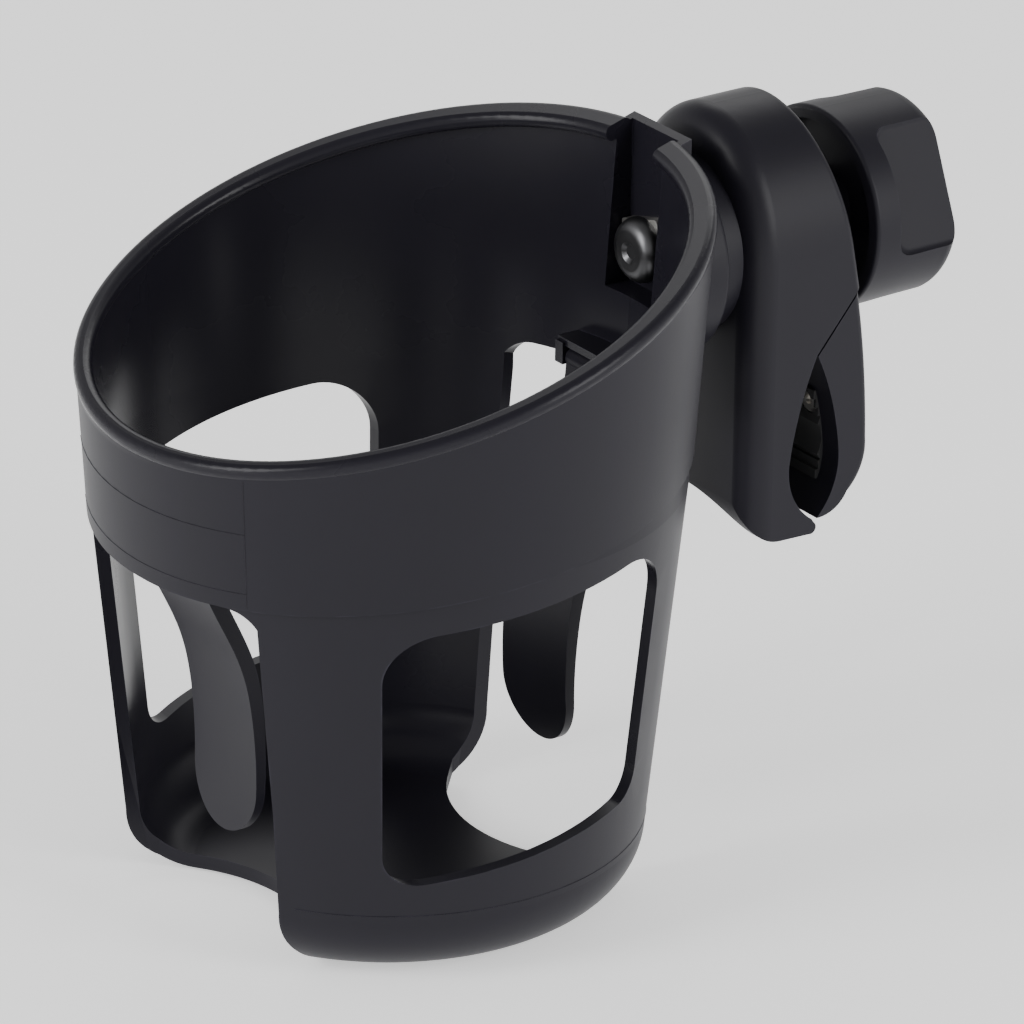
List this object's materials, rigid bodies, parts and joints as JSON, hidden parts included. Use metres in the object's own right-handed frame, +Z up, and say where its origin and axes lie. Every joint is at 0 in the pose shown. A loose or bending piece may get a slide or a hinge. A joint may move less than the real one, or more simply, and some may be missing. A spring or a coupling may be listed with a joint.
{
  "type": "clamp-on cup holder",
  "caption": "Open basket cup holder with bent grip fingers, swivelling on a knob-tightened bar clamp with a hinged jaw.",
  "frame": {"origin": "centre of the clamp's bar seat, between the two jaw pads", "axes": "+Z up along the cup's axis; +X from the cup towards the knob, along the clamp bolt; +Y along the bar"},
  "size_m": [0.1443, 0.0964, 0.1144],
  "materials": {
    "black_plastic": "fine satin texture",
    "zinc_steel": "zinc plated",
    "spring_steel": "drawn wire",
    "grip_rubber": "matte",
    "slide_plastic": "smooth",
    "insert_brass": "machined"
  },
  "bodies": {
    "clamp": {"clamp_body": "black_plastic", "swivel_ring": "slide_plastic", "swivel_bush": "slide_plastic", "hinge_pin": "zinc_steel", "hinge_pin_plug": "black_plastic", "fixed_jaw_pad": "grip_rubber", "fixed_pad_screws": "zinc_steel", "jaw_spring": "spring_steel"},
    "cup": {"cup_basket": "black_plastic", "anchor_plate": "zinc_steel", "clamp_bolt": "zinc_steel", "bolt_stop_ring": "zinc_steel"},
    "handle_side_finger": {"grip_finger_handle_side": "black_plastic"},
    "clamp_side_finger": {"grip_finger_clamp_side": "black_plastic"},
    "jaw": {"swing_jaw": "black_plastic", "swing_jaw_pad": "grip_rubber", "swing_pad_screws": "zinc_steel"},
    "washer": {"thrust_washer": "zinc_steel"},
    "knob": {"knob": "black_plastic", "knob_insert": "insert_brass", "knob_cap": "black_plastic"}
  },
  "joints": [
    {"name": "cup_swivel", "type": "hinge", "parent": "clamp", "child": "cup", "pos_m": [-0.0165, 0, 0.0327], "axis": [1, 0, 0], "continuous": true},
    {"name": "handle_side_finger_bend", "type": "hinge", "parent": "cup", "child": "handle_side_finger", "pos_m": [-0.1086, 0, 0.0135], "axis": [0, 1, 0], "range_deg": [0, 8], "stiffness_Nm_per_rad": 1.2},
    {"name": "clamp_side_finger_bend", "type": "hinge", "parent": "cup", "child": "clamp_side_finger", "pos_m": [-0.0274, 0, 0.0135], "axis": [0, -1, 0], "range_deg": [0, 8], "stiffness_Nm_per_rad": 1.2},
    {"name": "jaw_swing", "type": "hinge", "parent": "clamp", "child": "jaw", "pos_m": [0.0015, 0, 0.0412], "axis": [0, -1, 0], "range_deg": [0, 16], "deforming": ["jaw_spring"]},
    {"name": "knob_slide", "type": "slide", "parent": "clamp", "child": "washer", "axis": [1, 0, 0], "range_m": [0, 0.00235]},
    {"name": "knob_spin", "type": "hinge", "parent": "washer", "child": "knob", "pos_m": [0.012, 0, 0.0327], "axis": [1, 0, 0], "range_deg": [0, 843]}
  ],
  "couplings": [
    {"joint": "knob_slide", "follows": "knob_spin", "m_per_rad": 0.00015915},
    {"joint": "jaw_swing", "follows": "knob_spin", "ratio": 0.018861}
  ]
}
